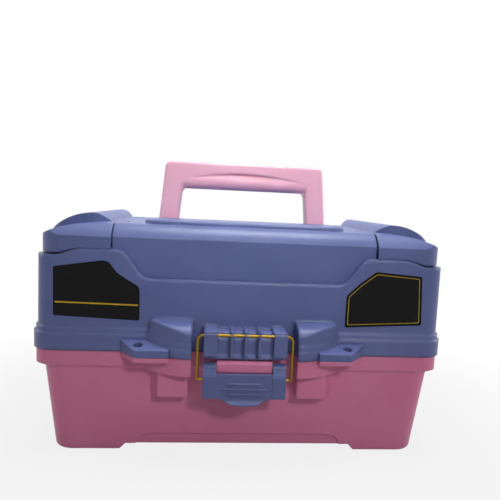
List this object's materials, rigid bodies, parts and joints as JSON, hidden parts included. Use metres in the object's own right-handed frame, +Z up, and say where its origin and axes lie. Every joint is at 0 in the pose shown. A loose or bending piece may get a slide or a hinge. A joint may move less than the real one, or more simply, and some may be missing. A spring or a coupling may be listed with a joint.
{
  "type": "tackle box",
  "caption": "Hinged plastic tackle box with a carrying handle, wire bail latch, padlock tabs, top access lids and cantilever trays that rise as the lid opens.",
  "frame": {"origin": "middle of the outer box of the closed part with its handle up, on the surface it stands on", "axes": "+X along the box to the right seen from the front, -Y towards the front where the latch is, +Z up"},
  "size_m": [0.378, 0.2469, 0.2727],
  "materials": {
    "base_plastic": "moulded pink polypropylene, fine satin grain",
    "lid_plastic": "moulded periwinkle polypropylene, fine satin grain",
    "tray_plastic": "moulded pale tray plastic",
    "wire_brass": "brass plated spring wire",
    "pin_steel": "bright drawn steel pin",
    "arm_steel": "zinc plated sheet steel",
    "rivet_aluminium": "headed aluminium rivet"
  },
  "bodies": {
    "base": {"base_tub": "base_plastic", "base_padlock_tabs": "base_plastic", "latch_pin": "pin_steel", "hinge_pin_left": "pin_steel", "hinge_pin_right": "pin_steel", "base_arm_rivets": "rivet_aluminium"},
    "lid": {"lid_shell": "lid_plastic", "lid_bridge": "lid_plastic", "handle_recess": "lid_plastic", "left_well": "lid_plastic", "right_well": "lid_plastic", "lid_padlock_tabs": "lid_plastic", "lid_tray_rivets": "rivet_aluminium"},
    "left_access_lid": {"left_access_lid": "lid_plastic"},
    "right_access_lid": {"right_access_lid": "lid_plastic"},
    "handle": {"handle": "base_plastic"},
    "latch_lever": {"latch_lever": "lid_plastic"},
    "latch_bail": {"latch_bail": "wire_brass"},
    "front_arms": {"front_arm_left": "arm_steel", "front_arm_right": "arm_steel"},
    "rear_arms": {"rear_arm_left": "arm_steel", "rear_arm_right": "arm_steel"},
    "lower_tray": {"lower_tray": "tray_plastic", "lower_tray_dividers": "tray_plastic", "lower_tray_rivets": "rivet_aluminium"},
    "upper_tray": {"upper_tray": "tray_plastic", "upper_tray_dividers": "tray_plastic", "upper_tray_rivets": "rivet_aluminium"}
  },
  "joints": [
    {"name": "lid_hinge", "type": "hinge", "parent": "base", "child": "lid", "pos_m": [0, 0.11845, 0.0978], "axis": [-1, 0, 0], "range_deg": [0, 95]},
    {"name": "front_arm_swing", "type": "hinge", "parent": "base", "child": "front_arms", "pos_m": [0, 0.01645, 0.0908], "axis": [-1, 0, 0], "range_deg": [0, 95]},
    {"name": "rear_arm_swing", "type": "hinge", "parent": "base", "child": "rear_arms", "pos_m": [0, 0.09445, 0.0908], "axis": [-1, 0, 0], "range_deg": [0, 95]},
    {"name": "lower_tray_level", "type": "hinge", "parent": "front_arms", "child": "lower_tray", "pos_m": [0, -0.02555, 0.0828], "axis": [-1, 0, 0], "range_deg": [-95, 0]},
    {"name": "upper_tray_level", "type": "hinge", "parent": "front_arms", "child": "upper_tray", "pos_m": [0, -0.05555, 0.1088], "axis": [-1, 0, 0], "range_deg": [-95, 0]},
    {"name": "handle_fold", "type": "hinge", "parent": "lid", "child": "handle", "pos_m": [0, 0.00445, 0.2012], "axis": [-1, 0, 0], "range_deg": [0, 90]},
    {"name": "left_access_hinge", "type": "hinge", "parent": "lid", "child": "left_access_lid", "pos_m": [-0.116, 0.00845, 0.2077], "axis": [0, 1, 0], "range_deg": [0, 100]},
    {"name": "right_access_hinge", "type": "hinge", "parent": "lid", "child": "right_access_lid", "pos_m": [0.116, 0.00845, 0.2077], "axis": [0, -1, 0], "range_deg": [0, 100]},
    {"name": "latch_lever_turn", "type": "hinge", "parent": "base", "child": "latch_lever", "pos_m": [0, -0.11275, 0.0906], "axis": [-1, 0, 0], "range_deg": [0, 110]},
    {"name": "latch_bail_turn", "type": "hinge", "parent": "latch_lever", "child": "latch_bail", "pos_m": [0, -0.11525, 0.0808], "axis": [-1, 0, 0], "range_deg": [-110, 0]}
  ],
  "couplings": [
    {"joint": "front_arm_swing", "follows": "lid_hinge", "ratio": 1},
    {"joint": "rear_arm_swing", "follows": "lid_hinge", "ratio": 1},
    {"joint": "lower_tray_level", "follows": "lid_hinge", "ratio": -1},
    {"joint": "upper_tray_level", "follows": "lid_hinge", "ratio": -1},
    {"joint": "latch_bail_turn", "follows": "latch_lever_turn", "ratio": -1}
  ]
}
